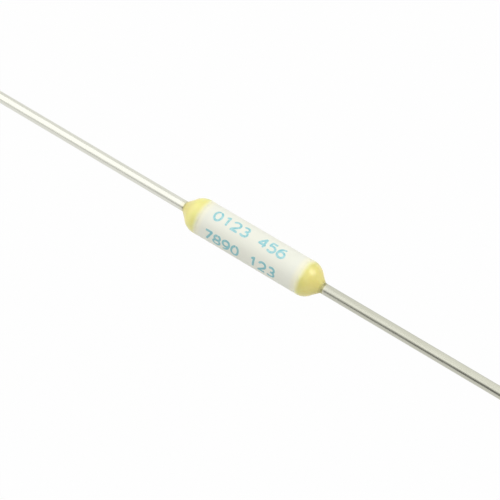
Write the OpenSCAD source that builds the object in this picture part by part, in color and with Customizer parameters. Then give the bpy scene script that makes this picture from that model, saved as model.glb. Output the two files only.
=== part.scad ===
// Axial thermal fuse of the fusible alloy kind.
// A low-melting alloy link joins the headed ends of two tinned leads inside a ceramic tube.
// Flux coats the link, and a domed drop of resin seals each end of the tube around its lead.
// The axis is X, the origin is the middle of the tube, and all sizes are in millimetres.

/* [Ceramic tube] */
// Outside diameter of the tube
tube_od = 2.6; // [2.2:0.1:4]
// Wall thickness of the tube
tube_wall = 0.45; // [0.3:0.05:0.6]
// Length of the tube between its end faces
tube_length = 8.5; // [7:0.1:14]
// Bevel on the edges of the tube's end faces
tube_bevel = 0.08; // [0.02:0.01:0.14]

/* [Leads] */
// Diameter of the tinned copper wire
lead_d = 0.8; // [0.5:0.05:1]
// Length of each lead outside the tube, from the tube's end face to the cut end
lead_out = 27.5; // [12:0.5:40]
// Bevel on the cut end of a lead
lead_bevel = 0.05; // [0.02:0.01:0.1]
// Thickness of the forged head on the inner end of a lead
head_thickness = 0.3; // [0.2:0.05:0.5]
// Gap between the head's rim and the bore of the tube
head_clearance = 0.05; // [0.02:0.01:0.1]

/* [Anchor rings on a lead] */
// Number of rolled rings that key a lead in its resin
anchor_count = 3; // [2:1:4]
// Length of one ring along the lead
anchor_pitch = 0.25; // [0.2:0.01:0.3]
// Depth of the groove in a ring
anchor_depth = 0.05; // [0.02:0.01:0.1]
// Distance from the tube's end face out to the far side of the last ring
anchor_out = 1.4; // [1.1:0.05:1.45]

/* [Resin seals] */
// Straight collar of the left drop, between the tube's end face and its shoulder
left_collar = 0.24; // [0.05:0.01:0.6]
// Straight collar of the right drop, between the tube's end face and its shoulder
right_collar = 0.05; // [0.03:0.01:0.6]
// Radius of the shoulder where a drop turns in towards the lead
shoulder_radius = 1.26; // [1:0.02:1.3]
// Lean of the flank where the shoulder passes into the meniscus, measured from the axis
flank_lean = 46; // [44:0.5:52]
// Angle at which the meniscus meets the lead
meniscus_angle = 38; // [28:1:41]
// Depth of the resin plug inside the tube
plug_depth = 1.2; // [0.6:0.1:1.6]
// Hollow in the inner face of the plug
plug_sag = 0.1; // [0.04:0.02:0.16]
// Flat lip left around that hollow
plug_lip = 0.03; // [0.02:0.01:0.06]

/* [Fuse element] */
// Diameter of the fusible alloy link
link_d = 0.7; // [0.4:0.05:0.9]
// Length of the link between the two heads
link_length = 3.6; // [2.4:0.1:4.4]
// Flare of the link where it is welded to a head
link_flare = 0.08; // [0.02:0.02:0.14]
// Air gap between the flux bead and the bore of the tube
flux_gap = 0.12; // [0.08:0.01:0.2]
// How much slimmer the flux bead is at its ends than at its middle
flux_crown = 0.14; // [0.06:0.02:0.2]

/* [Hidden] */

// Facets of a full circle in previews and meshes, and of the circles behind long flat arcs
turn_facets = 96;
arc_facets = 960;

tube_r = tube_od / 2;
bore_r = tube_r - tube_wall;
rim = tube_length / 2;
lead_r = lead_d / 2;
head_r = bore_r - head_clearance;
link_r = link_d / 2;
link_end = link_length / 2;

// In a drop's own section, y is 0 where its collar ends and its shoulder begins.
// The shoulder is an arc that leaves the tube's wall along it and turns through flank_lean.
flank = [cos(flank_lean), sin(flank_lean)];
shoulder_centre = [tube_r - shoulder_radius, 0];
flank_foot = shoulder_centre + shoulder_radius * flank;

// The meniscus is a hollow arc that goes on from the shoulder's arc and meets the lead at meniscus_angle.
// It bites a little into the shoulder, so that the two arcs cross instead of only touching.
meniscus_bite = 0.004;
meniscus_radius = (flank_foot.x - lead_r) / (cos(meniscus_angle) - cos(flank_lean));
meniscus_centre = flank_foot + (meniscus_radius - meniscus_bite) * flank;

anchor_top = rim + anchor_out;
anchor_base = anchor_top - anchor_count * anchor_pitch;
lead_end = rim + lead_out;

// The plug's inner face is hollowed by an arc of plug_sag, inside a flat lip at the lead and at the bore.
plug_face = rim - plug_depth;
plug_half_width = (bore_r - lead_r) / 2 - plug_lip;
plug_arc = (plug_half_width * plug_half_width + plug_sag * plug_sag) / (2 * plug_sag);

// The flux bead is barrel-shaped: an arc over the link's length.
flux_r = bore_r - flux_gap;
flux_arc = (link_end * link_end + flux_crown * flux_crown) / (2 * flux_crown);

// Turns a half section about the X axis. In the section, x is the radius and y runs along the axis.
module turned() {
    rotate([0, 90, 0])
        rotate_extrude($fn = turn_facets)
            children();
}

// Half section of the tube, with a bevel on all four edges
module tube_section() {
    polygon([
        [bore_r, -rim + tube_bevel],
        [bore_r + tube_bevel, -rim],
        [tube_r - tube_bevel, -rim],
        [tube_r, -rim + tube_bevel],
        [tube_r, rim - tube_bevel],
        [tube_r - tube_bevel, rim],
        [bore_r + tube_bevel, rim],
        [bore_r, rim - tube_bevel]
    ]);
}

// Half section of the right lead: head, shank, anchor rings and bare wire
module lead_section() {
    head_back = link_end + head_thickness;
    rings = [
        for (i = [0 : anchor_count - 1], step = [0, 0.5])
            [lead_r - (step > 0 ? anchor_depth : 0), anchor_base + (i + step) * anchor_pitch]
    ];
    polygon(concat(
        [[0, link_end], [head_r, link_end], [head_r, head_back], [lead_r, head_back]],
        rings,
        [
            [lead_r, anchor_top],
            [lead_r, lead_end - lead_bevel],
            [lead_r - lead_bevel, lead_end],
            [0, lead_end]
        ]
    ));
}

// Half section of the alloy link, flared at both welds
module link_section() {
    polygon([
        [0, -link_end],
        [link_r + link_flare, -link_end],
        [link_r, -link_end + link_flare],
        [link_r, link_end - link_flare],
        [link_r + link_flare, link_end],
        [0, link_end]
    ]);
}

// Straight part of a drop, from the bevel of the tube's rim to the shoulder
module collar_section(collar) {
    translate([0, rim - tube_bevel])
        square([tube_r, tube_bevel + collar]);
}

// Rounded shoulder of a drop
module shoulder_section() {
    intersection() {
        translate(shoulder_centre)
            circle(shoulder_radius, $fn = turn_facets);
        square([tube_r, shoulder_radius]);
    }
}

// Hollow flank of a drop, which climbs the lead
module meniscus_section() {
    difference() {
        polygon([
            [0, 0],
            [flank_foot.x, 0],
            flank_foot,
            meniscus_centre,
            [0, meniscus_centre.y]
        ]);
        translate(meniscus_centre)
            circle(meniscus_radius, $fn = arc_facets);
    }
}

// Resin inside the tube's end, as wide as the bevelled mouth of the bore
module plug_section() {
    difference() {
        translate([0, plug_face])
            square([bore_r + tube_bevel, plug_depth]);
        translate([(lead_r + bore_r) / 2, plug_face + plug_sag - plug_arc])
            circle(plug_arc, $fn = turn_facets);
    }
}

// Half section of a seal, which fills what the tube and the lead leave free
module seal_section(collar) {
    difference() {
        union() {
            plug_section();
            collar_section(collar);
            translate([0, rim + collar]) {
                shoulder_section();
                meniscus_section();
            }
        }
        tube_section();
        lead_section();
    }
}

// Half section of the flux bead, which coats the link from head to head
module flux_section() {
    difference() {
        intersection() {
            translate([flux_r - flux_arc, 0])
                circle(flux_arc, $fn = arc_facets);
            translate([0, -link_end])
                square([flux_r, link_length]);
        }
        link_section();
    }
}

// White ceramic tube, open at both ends
module ceramic_tube() {
    color("whitesmoke")
        turned()
            tube_section();
}

// Tinned copper lead on the +X side
module right_lead() {
    color("silver")
        turned()
            lead_section();
}

// Tinned copper lead on the -X side
module left_lead() {
    mirror([1, 0, 0])
        right_lead();
}

// Pale yellow resin on the +X side
module right_seal() {
    color("khaki")
        turned()
            seal_section(right_collar);
}

// Pale yellow resin on the -X side
module left_seal() {
    color("khaki")
        mirror([1, 0, 0])
            turned()
                seal_section(left_collar);
}

// Alloy that melts at the rated temperature
module fusible_link() {
    color("darkgray")
        turned()
            link_section();
}

// Flux that draws the molten alloy back onto the heads
module flux_bead() {
    color("goldenrod")
        turned()
            flux_section();
}

ceramic_tube();
left_lead();
right_lead();
left_seal();
right_seal();
fusible_link();
flux_bead();
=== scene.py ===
# %% [markdown]
# Dressing an axial thermal fuse
#
# The part is a white ceramic tube, closed at both ends by a drop of pale yellow resin, with a tinned
# copper lead coming out of each drop along the tube's axis. Every piece is round, so nearly everything
# here is a profile turned about the X axis. The packed CAD model is loaded first. It is the frame:
# the new surfaces take their places from it and hide the coarser solids that they stand for.

# %% Load the frame
import math

import bpy
import numpy as np
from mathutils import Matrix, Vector


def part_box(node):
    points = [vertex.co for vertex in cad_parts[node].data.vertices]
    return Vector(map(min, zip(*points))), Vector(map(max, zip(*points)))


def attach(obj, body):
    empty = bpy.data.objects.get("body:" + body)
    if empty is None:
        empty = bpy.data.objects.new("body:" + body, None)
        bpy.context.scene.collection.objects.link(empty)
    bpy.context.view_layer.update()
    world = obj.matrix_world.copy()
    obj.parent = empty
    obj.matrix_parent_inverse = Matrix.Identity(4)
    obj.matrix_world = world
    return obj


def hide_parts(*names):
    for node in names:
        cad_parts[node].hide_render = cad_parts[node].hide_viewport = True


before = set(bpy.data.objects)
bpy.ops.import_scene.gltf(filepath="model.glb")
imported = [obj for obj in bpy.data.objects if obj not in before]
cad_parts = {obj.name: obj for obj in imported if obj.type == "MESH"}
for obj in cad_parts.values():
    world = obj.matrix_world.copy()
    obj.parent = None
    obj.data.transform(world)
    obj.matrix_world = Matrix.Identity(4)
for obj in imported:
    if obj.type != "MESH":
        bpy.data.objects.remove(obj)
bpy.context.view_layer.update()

# %% [markdown]
# Sizes
#
# Blender works in metres, and this part is a few millimetres thick, so a value called MM turns one into
# the other. The main lengths are read from the frame's boxes. The small sizes inside a piece can't be
# read from a box, so each is named once, where the first piece that needs it is made.

# %% Sizes from the frame
MM = 0.001
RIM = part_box("ceramic_tube")[1].x
TUBE_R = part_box("ceramic_tube")[1].z
LEAD_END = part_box("right_lead")[1].x
LINK_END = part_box("fusible_link")[1].x
PLUG_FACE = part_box("right_seal")[0].x
SEAL_TIP = {"right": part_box("right_seal")[1].x, "left": -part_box("left_seal")[0].x}
X_SIGN = {"right": 1, "left": -1}
print(f"tube {2 * RIM / MM:.2f} by {2 * TUBE_R / MM:.2f} mm, overall {2 * LEAD_END / MM:.2f} mm")

# %% [markdown]
# The camera
#
# The photograph looks down on the fuse from its front, with the right lead coming a little nearer. The
# axis runs from upper left to lower right, and the two leads leave the picture. A long lens close to a
# small thing still shows some perspective: the right lead is a tenth wider than the left one. A camera
# could be placed by trial, but here it follows from the view's azimuth, its elevation, its distance, and
# the scale of the picture in pixels for each millimetre.

# %% Camera
VIEW_AZIMUTH = math.radians(36.05)
VIEW_ELEVATION = math.radians(54.6)
VIEW_DISTANCE = 120 * MM
PIXELS_PER_MM = 14.45
PICTURE_PIXELS = 500
CENTRE_PIXEL = (254.3, 247.3)
SENSOR = 36.0
NEAREST = 1 * MM
FURTHEST = 10.0

view_back = Vector((
    math.sin(VIEW_AZIMUTH) * math.cos(VIEW_ELEVATION),
    -math.cos(VIEW_AZIMUTH) * math.cos(VIEW_ELEVATION),
    math.sin(VIEW_ELEVATION),
))
view_turn = (-view_back).to_track_quat("-Z", "Y")
view_right = view_turn @ Vector((1, 0, 0))
view_up = view_turn @ Vector((0, 1, 0))
aim_right = (PICTURE_PIXELS / 2 - CENTRE_PIXEL[0]) / PIXELS_PER_MM * MM
aim_up = (CENTRE_PIXEL[1] - PICTURE_PIXELS / 2) / PIXELS_PER_MM * MM

camera_data = bpy.data.cameras.new("photo_camera")
camera_data.sensor_width = SENSOR
camera_data.lens = SENSOR * PIXELS_PER_MM * VIEW_DISTANCE / MM / PICTURE_PIXELS
camera_data.clip_start = NEAREST
camera_data.clip_end = FURTHEST
camera = bpy.data.objects.new("photo_camera", camera_data)
camera.rotation_mode = "QUATERNION"
camera.rotation_quaternion = view_turn
camera.location = view_back * VIEW_DISTANCE + view_right * aim_right + view_up * aim_up
bpy.context.scene.collection.objects.link(camera)
bpy.context.scene.camera = camera
print(f"lens {camera_data.lens:.1f} mm")

# %% [markdown]
# Shader maths as Python
#
# A material in Blender is a graph of nodes. Written node by node it is long and hard to read, so a small
# class wraps one output socket and lets Python's operators add the Math nodes: 1 - mask is then one
# expression. A second class holds the graph. Any other node comes from its one method, which takes the
# node's type, its settings and its sockets, and a few short methods name the nodes used most.

# %% A socket that understands operators
NOISE_MIDDLE = 0.5


class Flow:
    """A value on its way through a shader: one output socket and the finish that it belongs to."""

    def __init__(self, finish, socket):
        self.finish = finish
        self.socket = socket

    def math(self, operation, first, second):
        """The Math node of that operation on two values, each a flow or a number."""
        return self.finish.node("ShaderNodeMath", {"operation": operation}, {0: first, 1: second})

    def __add__(self, other):
        return self.math("ADD", self, other)

    def __radd__(self, other):
        return self.math("ADD", other, self)

    def __sub__(self, other):
        return self.math("SUBTRACT", self, other)

    def __rsub__(self, other):
        return self.math("SUBTRACT", other, self)

    def __mul__(self, other):
        return self.math("MULTIPLY", self, other)

    def __rmul__(self, other):
        return self.math("MULTIPLY", other, self)

    def __abs__(self):
        return self.math("ABSOLUTE", self, 0.0)


def between(amount, first, last):
    """A number that goes from first to last as amount goes from 0 to 1."""
    return first + (last - first) * amount


def wander(noise, reach):
    """How far a border strays from its line: reach times the noise's distance from its middle value."""
    return reach * (noise - NOISE_MIDDLE)


print("halfway between 2 and 4:", between(0.5, 2, 4))

# %% A finish that adds nodes
class Finish:
    """A node tree under construction. The tree is a material's or the world's."""

    def __init__(self, owner):
        owner.use_nodes = True
        self.owner = owner
        self.tree = owner.node_tree
        self.tree.nodes.clear()

    def node(self, kind, settings=None, sockets=None, output=0):
        """Adds a node, with its settings first and then its sockets, and gives one output as a flow."""
        made = self.tree.nodes.new(kind)
        for name, value in (settings or {}).items():
            setattr(made, name, value)
        for name, value in (sockets or {}).items():
            if isinstance(value, Flow):
                self.tree.links.new(value.socket, made.inputs[name])
            else:
                made.inputs[name].default_value = value
        return Flow(self, made.outputs[output]) if made.outputs else made

    def smooth_step(self, value, low, high):
        """0 below low, 1 above high, and an S-shaped rise between them."""
        sockets = {"Value": value, "From Min": low, "From Max": high}
        return self.node("ShaderNodeMapRange", {"interpolation_type": "SMOOTHSTEP"}, sockets)

    def blend(self, amount, first, second):
        """A colour that goes from first to second as amount goes from 0 to 1."""
        sockets = {"Factor": amount, 6: first, 7: second}
        return self.node("ShaderNodeMix", {"data_type": "RGBA"}, sockets, output=2)

    def place_mm(self, stretch=(1, 1, 1)):
        """Object coordinates in millimetres, stretched along each axis by its own factor."""
        place = self.node("ShaderNodeTexCoord", output="Object")
        scale = tuple(factor / MM for factor in stretch)
        return self.node("ShaderNodeMapping", {"vector_type": "POINT"}, {"Vector": place, "Scale": scale})

    def noise(self, place, scale, detail=3.0, roughness=0.5):
        """Cloud noise around 0.5, with features of about 1 / scale millimetres."""
        sockets = {"Vector": place, "Scale": scale, "Detail": detail, "Roughness": roughness}
        return self.node("ShaderNodeTexNoise", None, sockets)

    def axis(self, place, letter):
        """One coordinate of a place, as a number."""
        return self.node("ShaderNodeSeparateXYZ", None, {"Vector": place}, output=letter)

    def vectors(self, operation, first, second=(0, 0, 0), output="Value"):
        """The Vector Math node of that operation, as a number unless another output is named."""
        return self.node("ShaderNodeVectorMath", {"operation": operation}, {0: first, 1: second}, output)

    def ray(self, kind):
        """1 for light rays of one kind, such as Camera, and 0 for all others."""
        return self.node("ShaderNodeLightPath", output=f"Is {kind} Ray")

    def bump(self, height, depth):
        """Normals of a surface that is raised by height times depth, in metres."""
        return self.node("ShaderNodeBump", None, {"Height": height, "Distance": depth}, output="Normal")

    def surface(self, **sockets):
        """The Principled shader with these sockets, as the material's surface."""
        titles = (name.replace("_", " ").title().replace("Ior", "IOR") for name in sockets)
        shader = self.node("ShaderNodeBsdfPrincipled", None, dict(zip(titles, sockets.values())))
        self.node("ShaderNodeOutputMaterial", None, {"Surface": shader})
        return self.owner


def new_finish(name):
    """An empty finish for a new material of that name."""
    return Finish(bpy.data.materials.new(name))


print("finish methods:", [name for name in vars(Finish) if not name.startswith("_")])

# %% [markdown]
# Turned surfaces
#
# Blender could turn a profile with its Screw modifier, but that can leave a seam and faces inside out.
# A turned surface is also the simplest surface to write down: a profile gives a radius and a place on
# the axis for each row, an angle gives the column, and one array expression makes all the points.
# Angles start at the top, +Z, and grow towards the front, -Y, which the camera sees.

# %% Points of a turned surface
SIDES = 160


def around(count):
    """Angles of the columns of a full turn."""
    return np.arange(count) * 2 * np.pi / count


def turned(radius, along, angle):
    """Points of a turned surface: at each row a radius and a place on X, swept through the angles.

    X is the place, -Y is the radius times the angle's sine, and Z is the radius times its cosine.
    """
    radius, along, angle = np.broadcast_arrays(radius, along, angle)
    return np.stack((along, -radius * np.sin(angle), radius * np.cos(angle)), axis=-1)


def stretch(start, stop, count):
    """Evenly spaced points of a straight stretch of a profile, with its last point left to the next."""
    return np.linspace(start, stop, count, endpoint=False)


def bow(centre, radii, start, stop, count):
    """Points of a circle's or an ellipse's arc, from angle start to angle stop, both ends included."""
    angle = np.linspace(start, stop, count)
    return np.array(centre) + np.stack((np.cos(angle), np.sin(angle)), axis=-1) * np.array(radii)


print("columns of a full turn:", SIDES)

# %% [markdown]
# From a grid to a piece
#
# A grid of rings becomes a mesh by numbering its points row by row: each cell is a face with four
# corners. A ring section closes on itself, and a rod closes in a pole at each end. Which way round the
# faces turn depends on the profile's direction, so the enclosed volume is worked out, and a surface
# whose volume comes out negative is turned over.

# %% Faces of a grid
def ring_faces(rows, columns, closed):
    """Four corners for each cell of a grid whose columns form a ring, and whose rows do too if closed."""
    row = np.arange(rows if closed else rows - 1)[:, None]
    column = np.arange(columns)[None, :]
    next_row = (row + 1) % rows
    next_column = (column + 1) % columns
    corners = (
        row * columns + column,
        next_row * columns + column,
        next_row * columns + next_column,
        row * columns + next_column,
    )
    return np.stack(np.broadcast_arrays(*corners), axis=-1).reshape(-1, 4)


def pole_faces(columns, ring_start, pole):
    """Triangles from one ring of points to a pole."""
    column = np.arange(columns)
    following = (column + 1) % columns
    return np.stack((ring_start + column, ring_start + following, np.full(columns, pole)), axis=-1)


def grid_surface(grid, poles=None):
    """Points, four-sided faces and triangles of a grid of rings, closed by two poles or on itself."""
    rows, columns = grid.shape[:2]
    points = grid.reshape(-1, 3)
    quads = ring_faces(rows, columns, closed=poles is None)
    triangles = np.zeros((0, 3), dtype=int)
    if poles is not None:
        count = len(points)
        points = np.vstack((points, poles))
        first = pole_faces(columns, 0, count)
        last = pole_faces(columns, count - columns, count + 1)[:, ::-1]
        triangles = np.vstack((first, last))
    return points, quads, triangles


def outward(points, quads, triangles):
    """The surface with its faces outwards, and its volume: a sixth of the sum of the triple products."""
    corners = points[np.vstack((quads[:, [0, 1, 2]], quads[:, [0, 2, 3]], triangles))]
    volume = np.einsum("ij,ij->i", corners[:, 0], np.cross(corners[:, 1], corners[:, 2])).sum() / 6
    if volume < 0:
        return points, quads[:, ::-1], triangles[:, ::-1], -volume
    return points, quads, triangles, volume


print("faces between 3 rings of 4 points:", len(ring_faces(3, 4, closed=False)))

# %% A piece of the object
SHARP_EDGE = math.radians(35)


def new_piece(name, surfaces, finish, stands_for=()):
    """A piece made of closed surfaces, which rides on the body and may stand for CAD nodes."""
    points, quads, triangles, volumes = zip(*(outward(*surface) for surface in surfaces))
    starts = np.cumsum([0] + [len(some) for some in points])
    faces = [row for some, start in zip(quads, starts) for row in (some + start).tolist()]
    faces += [row for some, start in zip(triangles, starts) for row in (some + start).tolist()]
    mesh = bpy.data.meshes.new(name)
    mesh.from_pydata(np.vstack(points).tolist(), [], faces)
    mesh.polygons.foreach_set("use_smooth", np.ones(len(faces), dtype=bool))
    mesh.set_sharp_from_angle(angle=SHARP_EDGE)
    mesh.materials.append(finish)
    piece = bpy.data.objects.new(name, mesh)
    bpy.context.scene.collection.objects.link(piece)
    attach(piece, "root")
    if stands_for:
        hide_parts(*stands_for)
    print(f"{name}: {len(faces)} faces, {sum(volumes) / MM ** 3:.3f} mm3")


print(f"edges over {math.degrees(SHARP_EDGE):.0f} degrees stay sharp")

# %% [markdown]
# Fired ceramic
#
# The tube is fired ceramic: white with a warm tint, a satin gloss, a fine grain that breaks up the
# highlight, and faint clouds from the firing. Next to the seals the body has drawn in a little resin,
# which leaves a cream edge. A flat white would look like paper, so noise varies the colour, the
# roughness and the bump. A finish reads the object's own coordinates in millimetres, so its lengths
# are plain millimetres, apart from the depth of a bump, which Blender takes in metres.

# %% Ceramic finish
CERAMIC_WHITES = ((0.855, 0.864, 0.755, 1), (0.893, 0.897, 0.803, 1))
SOAKED_CREAM = (0.975, 0.935, 0.70, 1)
SOAK_STRENGTH = 0.9
SOAK_DEPTH = 0.6
SOAK_WANDER = 0.14
GRAIN_DEPTH = 0.006 * MM


def ceramic_finish():
    """Warm white ceramic, clouded and grainy, and cream where resin has soaked into its ends."""
    finish = new_finish("fired_ceramic")
    place = finish.place_mm()
    clouds = finish.noise(place, scale=0.9, detail=4.0)
    grain = finish.noise(place, scale=14.0, detail=5.0, roughness=0.65)
    end = abs(finish.axis(place, "X")) + wander(clouds, SOAK_WANDER)
    soaked = SOAK_STRENGTH * finish.smooth_step(end, RIM / MM - SOAK_DEPTH, RIM / MM)
    return finish.surface(
        base_color=finish.blend(soaked, finish.blend(clouds, *CERAMIC_WHITES), SOAKED_CREAM),
        roughness=0.42 + 0.2 * grain,
        normal=finish.bump(grain, GRAIN_DEPTH),
        ior=1.5,
    )


fired_ceramic = ceramic_finish()
print("finish", fired_ceramic.name)

# %% [markdown]
# The ceramic tube
#
# The tube is a closed ring section: outer wall, bevel, end face, bevel, bore and back. A cylinder with a
# hole cut by a Boolean would look the same, but the section gives clean rows of faces. The walls
# need only a few rows, because they are straight.

# %% Ceramic tube
TUBE_WALL = 0.45 * MM
TUBE_BEVEL = 0.08 * MM
BORE_R = TUBE_R - TUBE_WALL
ROWS_PER_SIDE = (24, 2, 3, 2, 8, 2, 3, 2)


def tube_section():
    """Radius and place of the tube's closed section, from the outer wall round to the bore."""
    corners = np.array([
        (TUBE_R, -RIM + TUBE_BEVEL),
        (TUBE_R, RIM - TUBE_BEVEL),
        (TUBE_R - TUBE_BEVEL, RIM),
        (BORE_R + TUBE_BEVEL, RIM),
        (BORE_R, RIM - TUBE_BEVEL),
        (BORE_R, -RIM + TUBE_BEVEL),
        (BORE_R + TUBE_BEVEL, -RIM),
        (TUBE_R - TUBE_BEVEL, -RIM),
    ])
    following = np.roll(corners, -1, axis=0)
    return np.vstack([stretch(a, b, rows) for a, b, rows in zip(corners, following, ROWS_PER_SIDE)])


section = tube_section()
tube_grid = turned(section[:, :1], section[:, 1:], around(SIDES))
new_piece("ceramic_barrel", [grid_surface(tube_grid)], fired_ceramic, ["ceramic_tube"])

# %% [markdown]
# Cast resin
#
# The seals are drops of pale yellow epoxy. It was poured as a liquid, so it is smooth and glossy, with a
# skin that dimples slightly as it cures. Light enters it a little way, which subsurface scattering
# gives. The colour thins to cream where the drop runs out over the ceramic. Behind that edge a band of
# painted shade stands for the shadow of the resin's lip, and painted shade deepens the drop towards the
# wire, to a painted dark ring at the join. The right drop is the warmer one. A painted map could hold
# all this, but smooth steps along X follow the drop and need no unwrapping.

# %% Where a place lies on its drop
MIDDLE = (-1.0, 1.0)


def on_right(finish, along):
    """0 on the left of the part and 1 on its right, for finishes that differ between the two sides."""
    return finish.smooth_step(along, *MIDDLE)


def beyond_tip(finish, along):
    """How far a place on X lies beyond the tip of its own side's drop, in millimetres."""
    tip = between(on_right(finish, along), SEAL_TIP["left"] / MM, SEAL_TIP["right"] / MM)
    return abs(along) - tip


print("drops end at", {side: round(tip / MM, 2) for side, tip in SEAL_TIP.items()})

# %% [markdown]
# Colours along a drop
#
# Each step below is a stretch of X in millimetres. The steps of the cream, the band of painted shade
# and the warmth count from the tube's end face, and those of the painted shade on the flank and at the
# tip count from the tip of the drop. A strength has one value for the left drop and one for the right,
# and a step may lie a little further on one side.

# %% Resin colours
CREAM_STEP = (-0.12, 0.3)
# The lip's band is painted shade, standing in for the shadow of the resin's lip.
LIP_SHADE_START = (0.04, 0.16)
LIP_SHADE_STOP = (0.28, 0.6)
WARM_STEP = (0.3, 1.2)
# The flank step places painted shade on the drop towards the wire.
FLANK_SHADE_STEP = (-1.05, -0.45)
# The tip step places a painted dark ring where the drop meets the wire.
TIP_SHADE_STEP = (-0.17, -0.03)

RIGHT_CREAM = 0.06
RIGHT_WARM = 0.35
RIGHT_FLANK_SHADE = 0.35
LEFT_TIP_SHADE = 0.06
RESIN_WANDER = 0.12

LIP_SHADE_STRENGTH = (0.06, 0.26)
WARM_STRENGTH = (0.4, 1.0)
FLANK_SHADE_STRENGTH = (0.45, 0.25)
TIP_SHADE_STRENGTH = (0.55, 0.4)

CREAM = (0.985, 0.955, 0.66, 1)
# Olive is the painted shade behind the lip's edge.
LIP_SHADE_OLIVE = (0.66, 0.63, 0.2, 1)
LEMONS = ((0.85, 0.80, 0.24, 1), (0.905, 0.86, 0.31, 1))
HONEYS = ((0.89, 0.775, 0.225, 1), (0.945, 0.845, 0.29, 1))
# Amber is painted shade on the drop's flank.
FLANK_SHADE_AMBER = (0.66, 0.56, 0.15, 1)
# Brown is the painted shade of a dark ring at the drop's tip.
TIP_SHADE_BROWN = (0.40, 0.36, 0.10, 1)


def drop_colour(finish, place, clouds):
    """Colour along a drop: cream, a band of painted shade, lemon warming to honey, painted shade: amber,
    a brown tip.
    """
    along = finish.axis(place, "X")
    right = on_right(finish, along)
    height = abs(along) + wander(clouds, RESIN_WANDER) - RIM / MM
    past_tip = beyond_tip(finish, along)
    cream = 1 - finish.smooth_step(height - RIGHT_CREAM * right, *CREAM_STEP)
    # Painted shade in a band just behind the lip's edge
    lip_shade = finish.smooth_step(height, *LIP_SHADE_START) * (1 - finish.smooth_step(height, *LIP_SHADE_STOP))
    warm = finish.smooth_step(height + RIGHT_WARM * right, *WARM_STEP)
    # Painted shade on the flank, deepening towards the wire
    flank_shade = finish.smooth_step(past_tip - RIGHT_FLANK_SHADE * right, *FLANK_SHADE_STEP)
    # A painted dark ring of shade at the very tip
    tip = finish.smooth_step(past_tip + LEFT_TIP_SHADE * (1 - right), *TIP_SHADE_STEP)
    warmth = between(right, *WARM_STRENGTH) * warm
    colour = finish.blend(warmth, finish.blend(clouds, *LEMONS), finish.blend(clouds, *HONEYS))
    colour = finish.blend(between(right, *LIP_SHADE_STRENGTH) * lip_shade, colour, LIP_SHADE_OLIVE)
    colour = finish.blend(between(right, *FLANK_SHADE_STRENGTH) * flank_shade, colour, FLANK_SHADE_AMBER)
    colour = finish.blend(between(right, *TIP_SHADE_STRENGTH) * tip, colour, TIP_SHADE_BROWN)
    return finish.blend(cream, colour, CREAM)


print("strength of the dark tips, left and right:", TIP_SHADE_STRENGTH)

# %% Resin finish
DIMPLE_DEPTH = 0.02 * MM


def resin_finish():
    """Glossy resin, clouded and dimpled, that lets light in a little way."""
    finish = new_finish("cast_resin")
    place = finish.place_mm()
    clouds = finish.noise(place, scale=1.3, detail=3.0)
    dimples = finish.noise(place, scale=3.5, detail=2.0)
    return finish.surface(
        base_color=drop_colour(finish, place, clouds),
        roughness=0.28 + 0.12 * dimples,
        normal=finish.bump(dimples, DIMPLE_DEPTH),
        subsurface_weight=0.25,
        subsurface_radius=(1.0, 0.8, 0.35),
        subsurface_scale=0.25 * MM,
        ior=1.55,
        coat_weight=0.25,
        coat_roughness=0.16,
    )


cast_resin = resin_finish()
print("finish", cast_resin.name)

# %% [markdown]
# The resin seals
#
# A drop of resin leaves the tube's wall in a short straight collar, turns in over a round shoulder and
# ends in a meniscus, a hollow flank that surface tension draws up the wire. Shoulder and meniscus are two
# circle arcs that run into each other, worked out from the same sizes as the solid. The left
# drop is a little taller: its collar is longer. A sculpted drop could look livelier, but these arcs
# follow the photograph's outline.

# %% Profile of a drop
LEAD_R = 0.4 * MM
SHOULDER_RADIUS = 1.26 * MM
FLANK_LEAN = math.radians(46)
MENISCUS_ANGLE = math.radians(38)
SHOULDER_ROWS = 40
MENISCUS_ROWS = 28


def drop_profile():
    """Radius and height above the collar: an arc that turns in through the lean, then a hollow arc."""
    lean = np.array((math.cos(FLANK_LEAN), math.sin(FLANK_LEAN)))
    centre = np.array((TUBE_R - SHOULDER_RADIUS, 0))
    foot = centre + SHOULDER_RADIUS * lean
    hollow = (foot[0] - LEAD_R) / (math.cos(MENISCUS_ANGLE) - math.cos(FLANK_LEAN))
    turns = (np.pi + FLANK_LEAN, np.pi + MENISCUS_ANGLE)
    shoulder = bow(centre, SHOULDER_RADIUS, 0, FLANK_LEAN, SHOULDER_ROWS)
    meniscus = bow(foot + hollow * lean, hollow, *turns, MENISCUS_ROWS)
    return np.vstack((shoulder, meniscus[1:]))


drop = drop_profile()
print(f"drop {drop[-1, 1] / MM:.2f} mm high above its collar, {drop[-1, 0] / MM:.2f} mm at the lead")

# %% [markdown]
# Inside a seal
#
# Under the resin the wire carries rolled rings that key it in place, and the resin goes on as a plug
# inside the tube, with a face that sank a little as it cured. Nobody sees this side, but the
# piece stands for a solid, so it keeps the solid's form and is closed.

# %% Rings on the wire and the plug
ANCHOR_COUNT = 3
ANCHOR_PITCH = 0.25 * MM
ANCHOR_DEPTH = 0.05 * MM
ANCHOR_OUT = 1.4 * MM
ANCHOR_TOP = RIM + ANCHOR_OUT
PLUG_SAG = 0.1 * MM
PLUG_LIP = 0.03 * MM
PLUG_ROWS = 13
SHANK_ROWS = 4


def anchor_profile():
    """Radius and place of the rolled rings: a zigzag between the wire's surface and a groove's bottom."""
    half_steps = np.arange(2 * ANCHOR_COUNT + 1)
    radius = LEAD_R - half_steps % 2 * ANCHOR_DEPTH
    return np.stack((radius, ANCHOR_TOP - half_steps * ANCHOR_PITCH / 2), axis=-1)


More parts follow.
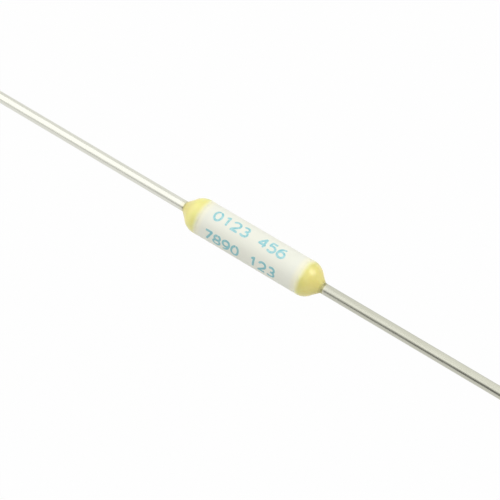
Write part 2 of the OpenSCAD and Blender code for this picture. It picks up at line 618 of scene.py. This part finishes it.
def plug_profile():
    """Radius and place: down the wire, across a face hollowed by a parabola, up the bore to the rim."""
    shank = stretch(anchor_profile()[-1], (LEAD_R, PLUG_FACE), SHANK_ROWS)[1:]
    across = np.linspace(LEAD_R + PLUG_LIP, BORE_R - PLUG_LIP, PLUG_ROWS)
    level = np.linspace(-1, 1, PLUG_ROWS)
    hollow = np.stack((across, PLUG_FACE + PLUG_SAG * (1 - level ** 2)), axis=-1)
    mouth = [
        (BORE_R, PLUG_FACE),
        (BORE_R, RIM - TUBE_BEVEL),
        (BORE_R + TUBE_BEVEL, RIM),
        (TUBE_R - TUBE_BEVEL, RIM),
        (TUBE_R, RIM - TUBE_BEVEL),
    ]
    return np.vstack((shank, [(LEAD_R, PLUG_FACE)], hollow, mouth))


print("rows inside a seal:", len(anchor_profile()) + len(plug_profile()))

# %% [markdown]
# Uneven drops
#
# No drop is perfectly round. Slow waves in the angle make it uneven by about a hundredth of a
# millimetre, and a thin lip runs out over the ceramic in a wavy edge. A sculpting brush could do that,
# but sums of cosines close after a full turn, and with sizes from a seeded draw each run gives the same
# drop.

# %% Slow waves
WAVE_ORDERS = np.arange(1, 6)


def waves(angle, seed):
    """A slow wave round a full turn: cosines with seeded sizes and phases, divided by the highest sum."""
    draw = np.random.default_rng(seed)
    size = draw.uniform(0.5, 1.0, len(WAVE_ORDERS)) / WAVE_ORDERS
    phase = draw.uniform(0, 2 * np.pi, len(WAVE_ORDERS))
    wave = (size * np.cos(WAVE_ORDERS * angle[:, None] + phase)).sum(axis=1)
    return wave / np.abs(wave).max()


print("waves in a full turn:", WAVE_ORDERS.tolist())

# %% Resin seals
LIP_REACH = 0.03 * MM
LIP_WAVE = 0.03 * MM
LIP_LENGTH = 0.1 * MM
LIP_THICKNESS = 0.012 * MM
LIP_ROWS = 8
COLLAR_ROWS = 5
DROP_WAVE = 0.012 * MM
SUNK = 0.004 * MM
DROP_SEED = {"right": 3, "left": 8}


def seal_grid(tip, seed):
    """Rings of a right seal: lip on the tube, collar, shoulder, meniscus, rings of the wire and plug.

    The lip rises from the wall as a quarter of an ellipse, and its edge follows a wave. The drop's radius
    gains the lip's thickness, which fades out up the drop, and another wave, which fades at both ends.
    """
    angle = around(SIDES)
    collar_end = tip - drop[-1, 1]
    share = np.linspace(0, 1, LIP_ROWS)[:, None]
    lip_x = RIM - TUBE_BEVEL - LIP_REACH - LIP_WAVE * waves(angle, seed + 1) + LIP_LENGTH * share
    lip_r = TUBE_R - SUNK + (LIP_THICKNESS + SUNK) * np.sqrt(1 - (1 - share) ** 2)
    collar_x = lip_x[-1] + (collar_end - lip_x[-1]) * np.linspace(0, 1, COLLAR_ROWS)[1:-1, None]
    height = drop[:, 1:] / drop[-1, 1]
    uneven = LIP_THICKNESS * (1 - height) ** 2 + DROP_WAVE * np.sin(np.pi * height) * waves(angle, seed)
    inside = np.vstack((anchor_profile(), plug_profile()))
    return np.vstack((
        turned(lip_r, lip_x, angle),
        turned(TUBE_R + LIP_THICKNESS, collar_x, angle),
        turned(drop[:, :1] + uneven, collar_end + drop[:, 1:], angle),
        turned(inside[:, :1], inside[:, 1:], angle),
    ))


for side, sign in X_SIGN.items():
    seal_points = seal_grid(SEAL_TIP[side], DROP_SEED[side]) * (sign, 1, 1)
    new_piece(f"{side}_resin_drop", [grid_surface(seal_points)], cast_resin, [f"{side}_seal"])

# %% [markdown]
# Tinned copper
#
# The leads are copper wire with a coat of tin. Tin is a warm silver. Drawing the wire through a
# die leaves fine lines along it, and handling leaves duller patches. The tin is also darker towards the
# right lead. Next to each drop a film of resin tints the wire, and a ring of painted shade marks where
# they meet.
# Cutting the wire bares the copper in the middle of its end. The lines come from noise that is
# stretched a long way along X, so that it hardly changes along the wire and changes quickly round it.

# %% Bared copper
COPPER = (0.68, 0.40, 0.26, 1)
COPPER_R = 0.3
COPPER_EDGE = 0.03
COPPER_WANDER = 0.1
CUT_STEP = (-0.03, -0.01)


def bared_copper(finish, place, along, lines):
    """1 on the copper that a cut end bares: inside the tin's ring, and only on the end face."""
    across = finish.vectors("MULTIPLY", place, (0, 1, 1), output="Vector")
    radius = finish.vectors("LENGTH", across) + wander(lines, COPPER_WANDER)
    cut = finish.smooth_step(abs(along) - LEAD_END / MM, *CUT_STEP)
    return cut * (1 - finish.smooth_step(radius, COPPER_R - COPPER_EDGE, COPPER_R + COPPER_EDGE))


print(f"bare copper {2 * COPPER_R:.1f} mm across in a cut end")

# %% Tinned wire finish
BRIGHT_TINS = ((0.675, 0.675, 0.605, 1), (0.74, 0.74, 0.67, 1))
DULL_TINS = ((0.51, 0.51, 0.43, 1), (0.57, 0.57, 0.49, 1))
FILM_YELLOW = (0.68, 0.64, 0.42, 1)
# Brown is painted shade: a dark ring on the wire where it meets the drop.
JOIN_SHADE_BROWN = (0.34, 0.32, 0.14, 1)

DULL_STEP = (-4.0, 6.0)
FILM_STRENGTH = 0.5
FILM_LENGTH = 0.45
FILM_WANDER = 0.06
JOIN_SHADE_STRENGTH = (0.3, 0.9)
JOIN_SHADE_LENGTH = 0.08
RIGHT_JOIN_SHADE = 0.13
LINE_STRETCH = (0.06, 1, 1)
PATCH_STRETCH = (0.35, 1, 1)
LINE_DEPTH = 0.006 * MM


def tinned_finish():
    """Tin with drawing lines, darker and rougher on the right, resin-tinted, painted shade at drops,
    copper ends.
    """
    finish = new_finish("tinned_copper")
    place = finish.place_mm()
    lines = finish.noise(finish.place_mm(LINE_STRETCH), scale=9.0, detail=4.0, roughness=0.6)
    patches = finish.noise(finish.place_mm(PATCH_STRETCH), scale=1.6, detail=3.0)
    along = finish.axis(place, "X")
    # The tin is darker towards the right.
    dull = finish.smooth_step(along, *DULL_STEP)
    past_tip = beyond_tip(finish, along) + wander(patches, FILM_WANDER)
    film = 1 - finish.smooth_step(past_tip, 0.0, FILM_LENGTH)
    # Painted shade: a dark ring on the wire at each drop, reaching a little further on the right
    join_shade = 1 - finish.smooth_step(past_tip - RIGHT_JOIN_SHADE * dull, 0.0, JOIN_SHADE_LENGTH)
    tin = finish.blend(dull, finish.blend(patches, *BRIGHT_TINS), finish.blend(patches, *DULL_TINS))
    tin = finish.blend(FILM_STRENGTH * film, tin, FILM_YELLOW)
    tin = finish.blend(between(dull, *JOIN_SHADE_STRENGTH) * join_shade, tin, JOIN_SHADE_BROWN)
    return finish.surface(
        base_color=finish.blend(bared_copper(finish, place, along, lines), tin, COPPER),
        metallic=1.0,
        roughness=0.12 + 0.1 * patches + 0.08 * lines + 0.04 * dull,
        normal=finish.bump(lines, LINE_DEPTH),
    )


tinned_copper = tinned_finish()
print("finish", tinned_copper.name)

# %% [markdown]
# The leads
#
# A lead starts at a forged head inside the tube, runs as a plain shank to its rolled rings under the
# resin, and goes on as bare wire to a sheared end. A row of cylinders would do, but one profile that is
# turned from end to end leaves no faces inside. A fan of triangles to a pole on the axis closes each end.

# %% Leads
LEAD_SIDES = 96
LEAD_BEVEL = 0.05 * MM
HEAD_CLEARANCE = 0.05 * MM
HEAD_R = BORE_R - HEAD_CLEARANCE
HEAD_THICKNESS = 0.3 * MM
HEAD_ROWS = 2
WIRE_ROWS = 60
END_ROWS = 4


def lead_profile():
    """Radius and place of a lead, from the middle of its head to the middle of its cut end."""
    head_back = LINK_END + HEAD_THICKNESS
    rings = anchor_profile()[::-1]
    return np.vstack((
        stretch((0, LINK_END), (HEAD_R, LINK_END), END_ROWS)[1:],
        stretch((HEAD_R, LINK_END), (HEAD_R, head_back), HEAD_ROWS),
        stretch((HEAD_R, head_back), (LEAD_R, head_back), HEAD_ROWS),
        stretch((LEAD_R, head_back), rings[0], SHANK_ROWS),
        rings[:-1],
        stretch(rings[-1], (LEAD_R, LEAD_END - LEAD_BEVEL), WIRE_ROWS),
        stretch((LEAD_R, LEAD_END - LEAD_BEVEL), (LEAD_R - LEAD_BEVEL, LEAD_END), END_ROWS),
        stretch((LEAD_R - LEAD_BEVEL, LEAD_END), (0, LEAD_END), END_ROWS),
    ))


profile = lead_profile()
lead_grid = turned(profile[:, :1], profile[:, 1:], around(LEAD_SIDES))
lead_poles = np.array([(LINK_END, 0, 0), (LEAD_END, 0, 0)])
for side, sign in X_SIGN.items():
    flip = np.array((sign, 1, 1))
    wire = grid_surface(lead_grid * flip, lead_poles * flip)
    new_piece(f"{side}_wire", [wire], tinned_copper, [f"{side}_lead"])

# %% [markdown]
# Printed digits
#
# The tube carries two rows of pale blue print: plain counting digits. Each digit is one or two pen
# strokes, made of straight lines and elliptic arcs in a cell 1 high. A text object could give digits
# too, but strokes keep one pen width all along, as such print has.

# %% Pen strokes of the digits
LOOP_POINTS = 40


def corner_line(*corners):
    """A path of straight lines through its corners."""
    return np.array(corners, dtype=float)


def loop(centre, radii, start, stop):
    """A path along an ellipse between two angles in degrees."""
    return bow(centre, radii, math.radians(start), math.radians(stop), LOOP_POINTS)


two = np.vstack((
    loop((0.31, 0.69), (0.31, 0.31), 170, -38),
    corner_line((0, 0), (0.64, 0)),
))
three = np.vstack((
    loop((0.29, 0.755), (0.27, 0.245), 150, -90),
    loop((0.29, 0.265), (0.32, 0.265), 90, -150),
))
five = np.vstack((
    corner_line((0.57, 1), (0.1, 1), (0.06, 0.56)),
    loop((0.29, 0.32), (0.33, 0.32), 125, -150),
))
six = np.vstack((
    loop((0.47, 0.32), (0.47, 0.67), 78, 180),
    loop((0.31, 0.31), (0.31, 0.31), 180, 540),
))
DIGITS = {
    "0": [loop((0.31, 0.5), (0.31, 0.5), 90, 450)],
    "1": [corner_line((0.12, 0.8), (0.37, 1), (0.37, 0))],
    "2": [two],
    "3": [three],
    "4": [corner_line((0.46, 0), (0.46, 1), (0, 0.3), (0.64, 0.3))],
    "5": [five],
    "6": [six],
    "7": [corner_line((0, 1), (0.62, 1), (0.2, 0))],
    "8": [loop((0.31, 0.755), (0.26, 0.245), 90, 450), loop((0.31, 0.26), (0.31, 0.26), 90, 450)],
    "9": [(0.62, 1) - six],
}
print("digits", "".join(DIGITS))

# %% [markdown]
# Printing ink
#
# The ink is a thin film pressed on by a pad, so it is mottled. The lower row, on the tube's shaded
# lower side, is painted darker with shade than the upper one. One flat blue would look like a sticker.
# Noise mottles it, and the height Z tells the two rows apart.

# %% Ink finish
INK_BLUES = ((0.235, 0.585, 0.64, 1), (0.48, 0.765, 0.785, 1))
# The darker blue is painted shade on the lower row.
LOWER_ROW_SHADE_BLUE = (0.18, 0.455, 0.495, 1)
LOWER_ROW_SHADE_STRENGTH = 0.45
MOTTLE_STEP = (0.3, 0.7)
UPPER_ROW = (0.6, 1.1)


def ink_finish():
    """Pale blue printing ink, mottled, with painted shade darkening the lower row."""
    finish = new_finish("printed_ink")
    place = finish.place_mm()
    specks = finish.noise(place, scale=5.0, detail=4.0, roughness=0.6)
    mottle = finish.smooth_step(specks, *MOTTLE_STEP)
    # Painted shade: the row below the upper one is darker
    lower_row_shade = LOWER_ROW_SHADE_STRENGTH * (1 - finish.smooth_step(finish.axis(place, "Z"), *UPPER_ROW))
    return finish.surface(
        base_color=finish.blend(lower_row_shade, finish.blend(mottle, *INK_BLUES), LOWER_ROW_SHADE_BLUE),
        roughness=0.45 + 0.2 * mottle,
        ior=1.5,
    )


printed_ink = ink_finish()
print("finish", printed_ink.name)

# %% [markdown]
# Strokes on the tube
#
# A stroke is a flat lens carried along its path, and the path is wrapped round the tube: up the cell
# becomes a smaller angle from the top. Real print has a thickness, so the ink catches a little light, and
# the ends of a stroke are round because the lens shrinks to a point there.

# %% Strokes of ink
STROKE_WIDTH = 0.165 * MM
INK_THICKNESS = 0.008 * MM
STROKE_ROWS = 64
LENS_SIDES = 10


def even_path(path, count):
    """The same path with points at even distances along it, and its length."""
    walked = np.concatenate(([0], np.cumsum(np.linalg.norm(np.diff(path, axis=0), axis=1))))
    places = np.linspace(0, walked[-1], count)
    return np.stack([np.interp(places, walked, path[:, k]) for k in range(2)], axis=-1), walked[-1]


def on_tube(place, height, row_angle):
    """Points over the tube's wall: the way up a flat place, over the tube's radius, lessens the angle."""
    return turned(TUBE_R + height, place[..., 0], row_angle - place[..., 1] / TUBE_R)


def stroke_surface(path, row_angle):
    """A stroke on the tube: a lens carried along the path, which narrows in an arc to each end point."""
    path, length = even_path(path, STROKE_ROWS)
    along = np.gradient(path, axis=0)
    along /= np.linalg.norm(along, axis=1, keepdims=True)
    across = np.stack((-along[:, 1], along[:, 0]), axis=-1)
    walked = length * np.linspace(0, 1, STROKE_ROWS)
    to_end = np.clip(np.minimum(walked, length - walked) / (STROKE_WIDTH / 2), 0, 1)
    taper = np.sqrt(1 - (1 - to_end) ** 2)[1:-1, None]
    lens = around(LENS_SIDES)
    side = STROKE_WIDTH / 2 * np.cos(lens) * taper
    place = path[1:-1, None, :] + side[..., None] * across[1:-1, None, :]
    grid = on_tube(place, INK_THICKNESS * np.sin(lens) * taper, row_angle)
    return grid_surface(grid, on_tube(path[[0, -1]], np.zeros(2), row_angle))


print(f"strokes {STROKE_WIDTH / MM:.3f} mm wide")

# %% Rows of digits
DIGIT_CELL = np.array((0.88, 0.72)) * MM
DIGIT_PITCH = 0.765 * MM
# For each row its digits, its start on X and the angle of its middle line
ROWS_OF_PRINT = {
    "upper_digits": ("0123 456", -3.28 * MM, math.radians(2.5)),
    "lower_digits": ("7890 123", -3.35 * MM, math.radians(74.5)),
}


def row_strokes(digits, start, row_angle):
    """Strokes of one row of print from a place on X: digits in cells of one pitch, with spaces empty."""
    corners = start + np.arange(len(digits)) * DIGIT_PITCH
    return [
        stroke_surface((corner, -DIGIT_CELL[1] / 2) + path * DIGIT_CELL, row_angle)
        for digit, corner in zip(digits, corners)
        for path in DIGITS.get(digit, [])
    ]


for row_name, row_of_print in ROWS_OF_PRINT.items():
    new_piece(row_name, row_strokes(*row_of_print), printed_ink)

# %% [markdown]
# Pieces inside
#
# The alloy link and its flux are sealed inside the tube, so their CAD solids stay as they are. They still
# get finishes of their own: dull grey alloy, and amber flux like rosin.

# %% Finishes of the sealed pieces
ALLOY_GREYS = ((0.50, 0.50, 0.50, 1), (0.66, 0.66, 0.65, 1))
FLUX_AMBERS = ((0.45, 0.22, 0.04, 1), (0.66, 0.40, 0.10, 1))


def alloy_finish():
    """Dull grey low-melting alloy with a crystal bloom."""
    finish = new_finish("fusible_alloy")
    bloom = finish.noise(finish.place_mm(), scale=5.0, detail=4.0)
    colour = finish.blend(bloom, *ALLOY_GREYS)
    return finish.surface(base_color=colour, metallic=1.0, roughness=0.35 + 0.2 * bloom)


def flux_finish():
    """Amber flux, glossy and clouded like rosin."""
    finish = new_finish("amber_flux")
    clouds = finish.noise(finish.place_mm(), scale=2.0, detail=3.0)
    colour = finish.blend(clouds, *FLUX_AMBERS)
    return finish.surface(base_color=colour, roughness=0.15 + 0.15 * clouds, ior=1.53)


for node_name, node_finish in (("fusible_link", alloy_finish()), ("flux_bead", flux_finish())):
    node_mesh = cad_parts[node_name].data
    node_mesh.materials.clear()
    node_mesh.materials.append(node_finish)
print("sealed pieces finished")

# %% [markdown]
# Floor
#
# The photograph has a plain white ground with no shadow against the fuse, which is held by its leads, so
# the floor lies a little way below. It is a matt white sheet. Most of what the camera and the reflections
# see of it is an even white, and the rest is its own paint, which keeps a soft shadow.

# %% Floor
FLOOR_DROP = 15 * MM
FLOOR_HALF = 1.5
FLOOR_PAINT = (0.72, 0.72, 0.715, 1)
EVEN_WHITE = 0.97


def floor_finish():
    """White paint that takes shadows, mixed with an even white where it is seen or mirrored."""
    finish = new_finish("pale_floor")
    paint = finish.node("ShaderNodeBsdfDiffuse", None, {"Color": FLOOR_PAINT})
    glow = finish.node("ShaderNodeEmission", None, {"Color": (1, 1, 1, 1), "Strength": 1.0})
    even = EVEN_WHITE * (finish.ray("Camera") + finish.ray("Glossy") + finish.ray("Transmission"))
    mixed = finish.node("ShaderNodeMixShader", None, {0: even, 1: paint, 2: glow})
    finish.node("ShaderNodeOutputMaterial", None, {"Surface": mixed})
    return finish.owner


floor_corners = np.array([(-1, -1, 0), (1, -1, 0), (1, 1, 0), (-1, 1, 0)]) * FLOOR_HALF
floor_corners -= (0, 0, FLOOR_DROP)
floor_mesh = bpy.data.meshes.new("floor")
floor_mesh.from_pydata(floor_corners.tolist(), [], [(0, 1, 2, 3)])
floor_mesh.materials.append(floor_finish())
floor = bpy.data.objects.new("floor", floor_mesh)
bpy.context.scene.collection.objects.link(floor)
print(f"floor {FLOOR_DROP / MM:.0f} mm below the axis")

# %% [markdown]
# Lamps and world
#
# Two soft boxes light the fuse, one behind on the right and one in front on the left, as the highlights
# on the resin show, and a white card opens the shade on the right. Bright metal shows its surroundings
# and little else: the world is white to the camera, dim to matt surfaces, and in reflections it is a
# bright room with a darker gap between the table and the lamps, which draws the dark line along the
# wires. A lamp doesn't hide the world behind it, so the room is dark there and the two don't add up.

# %% Lamps
BACK_BOX = {"direction": (0.52, 0.46, 0.71), "distance": 0.9, "size": 0.55, "radiance": 3.4}
RIGHT_CARD = {"direction": (0.85, -0.45, 0.25), "distance": 0.6, "size": 0.5, "radiance": 0.47}
FRONT_BOX = {"direction": (-0.72, -0.24, 0.65), "distance": 0.9, "size": 1.25, "radiance": 1.45}


def soft_box(name, direction, distance, size, radiance):
    """A square lamp that faces the fuse. Its power is radiance times area times pi."""
    lamp = bpy.data.lights.new(name, "AREA")
    lamp.shape = "SQUARE"
    lamp.size = size
    lamp.energy = radiance * size ** 2 * math.pi
    stand = bpy.data.objects.new(name, lamp)
    towards = Vector(direction).normalized()
    turn = (-towards).to_track_quat("-Z", "Y")
    stand.location = towards * distance
    stand.rotation_mode = "QUATERNION"
    stand.rotation_quaternion = turn
    bpy.context.scene.collection.objects.link(stand)
    print(f"{name}: {lamp.energy:.2f} W")
    return towards, turn @ Vector((1, 0, 0)), turn @ Vector((0, 1, 0)), size / 2 / distance


soft_box("back_soft_box", **BACK_BOX)
soft_box("right_card", **RIGHT_CARD)
front_cover = soft_box("front_soft_box", **FRONT_BOX)

# %% [markdown]
# The room in reflections
#
# A picture of a studio could surround the fuse, but a few smooth steps on the direction are enough. A
# reflection in a straight wire keeps the X of the camera's ray, so the gap changes with X to be dark on
# the right wire and faint on the left one. It stays in the front there, and goes all round further right.
# Each step below is a range of a direction's X, Y or Z, and a pair such as WALLS is the brightness before
# its step and after it.

# %% What the wires mirror
LAMP_EDGE = 0.03
ROUND_STEP = (-0.2, 0.0)
ROUND_REACH = 1.6
FRONT_STEP = (-0.45, 0.05)
LIFT_STEP = (-0.42, -0.18)
LIFT = 0.5
LOW_STEP = (0.0, 0.35)
WALL_STEP = (-0.45, -0.05)
WALLS = (0.95, 1.45)
GAP_STEP = (-0.53, -0.2)
GAP = (0.85, 0.14)
BACK_STEP = (-0.2, 0.3)
BACK_GAP = 0.4


def hidden_by(finish, towards, cover):
    """1 in the directions that a square lamp covers: its half width for each unit of depth, both ways."""
    *ways, half = cover
    depth, *sides = [finish.vectors("DOT_PRODUCT", towards, way) for way in ways]
    inside = [finish.smooth_step(half * depth - abs(side), -LAMP_EDGE, LAMP_EDGE) for side in sides]
    return inside[0] * inside[1]


def mirrored_room(finish, towards):
    """Brightness of the room by direction: bright walls, a low dark gap, black behind the front lamp."""
    right = finish.axis(towards, "X")
    back = finish.axis(towards, "Y")
    high = finish.axis(towards, "Z")
    all_round = ROUND_REACH * finish.smooth_step(right, *ROUND_STEP)
    front = 1 - finish.smooth_step(back - all_round, *FRONT_STEP)
    low = 1 - finish.smooth_step(high - LIFT * finish.smooth_step(right, *LIFT_STEP), *LOW_STEP)
    walls = between(finish.smooth_step(right, *WALL_STEP), *WALLS)
    gap = between(finish.smooth_step(right, *GAP_STEP), *GAP)
    gap = gap + BACK_GAP * finish.smooth_step(back, *BACK_STEP)
    room = walls + (gap - walls) * (front * low)
    return room * (1 - hidden_by(finish, towards, front_cover))


print("dark gap from", GAP[0], "on the left to", GAP[1], "on the right")

# %% World
FILL = 0.385
FILL_TILT = 0.07
SKY_WHITE = (1.0, 1.0, 0.985, 1)


def studio_world():
    """White to the camera, a dim fill to matt surfaces, and the room to mirrors."""
    world = bpy.data.worlds.new("studio")
    bpy.context.scene.world = world
    finish = Finish(world)
    towards = finish.node("ShaderNodeTexCoord", output="Generated")
    white = finish.ray("Camera") + finish.ray("Transmission")
    mirrored = finish.ray("Glossy")
    fill = FILL + FILL_TILT * finish.axis(towards, "Y")
    strength = white + mirrored * mirrored_room(finish, towards) + (1 - white - mirrored) * fill
    sky = finish.node("ShaderNodeBackground", None, {"Color": SKY_WHITE, "Strength": strength})
    finish.node("ShaderNodeOutputWorld", None, {"Surface": sky})


studio_world()
bpy.context.scene.view_settings.view_transform = "Standard"
print("fill", FILL)

# %% [markdown]
